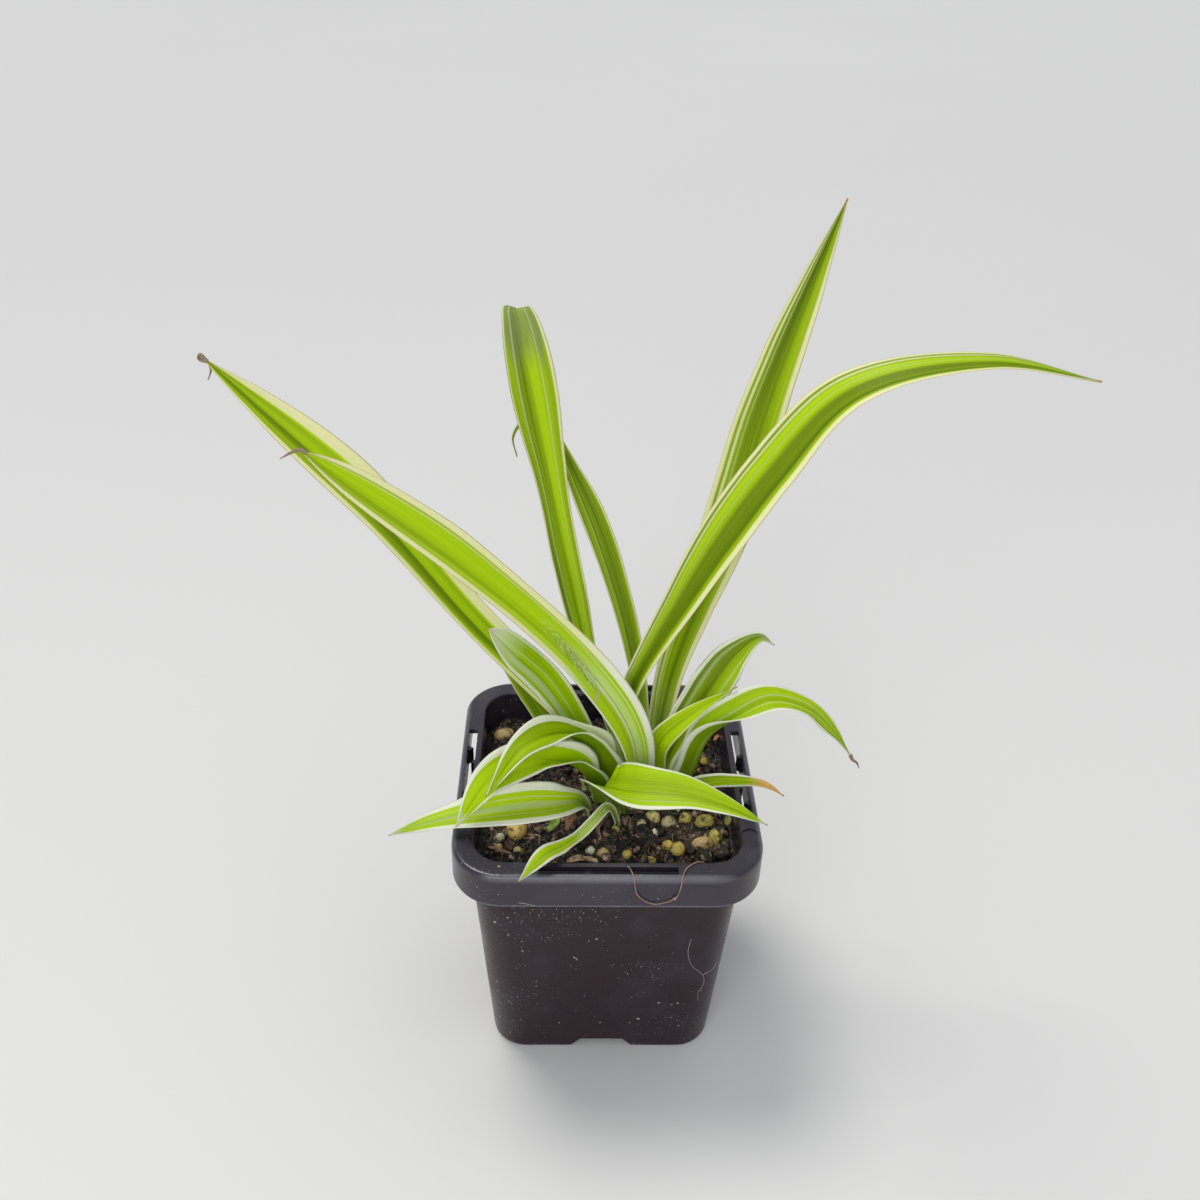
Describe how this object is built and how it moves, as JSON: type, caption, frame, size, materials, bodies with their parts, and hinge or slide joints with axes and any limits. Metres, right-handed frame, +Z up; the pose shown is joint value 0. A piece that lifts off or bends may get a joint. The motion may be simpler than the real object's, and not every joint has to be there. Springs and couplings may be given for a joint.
{
  "type": "potted spider plant",
  "caption": "Young variegated spider plant with arching striped leaves, growing in a square plastic nursery pot filled with peat.",
  "frame": {"origin": "on the surface it stands on, under the middle of the whole plant's spread; the pot's own middle lies 4.9 mm towards -X and 9.2 mm towards -Y of it", "axes": "+Z up; +X to the plant's right and +Y away from the front, both square to the pot's sides"},
  "size_m": [0.2124, 0.1086, 0.2241],
  "materials": {
    "pot_plastic": "satin charcoal moulded polypropylene, lightly scratched and dusty",
    "soil": "rough, damp peat with small round grains",
    "crown": "pale ribbed leaf sheaths, slightly waxy",
    "leaf": "waxy leaf with green middle, pale stripes and cream margins"
  },
  "bodies": {
    "root": {"pot": "pot_plastic", "soil": "soil", "crown": "crown", "leaf_far_left": "leaf", "leaf_left": "leaf", "leaf_upright": "leaf", "leaf_back_arch": "leaf", "leaf_tall": "leaf", "leaf_right_arch": "leaf", "leaf_short_left": "leaf", "leaf_shade_left": "leaf", "leaf_curl_outer": "leaf", "leaf_curl_inner": "leaf", "leaf_low_left": "leaf", "leaf_front_right": "leaf", "leaf_front_small": "leaf", "leaf_right_small": "leaf", "leaf_right_broad": "leaf", "leaf_right_wavy": "leaf", "leaf_right_low": "leaf"}
  },
  "joints": []
}
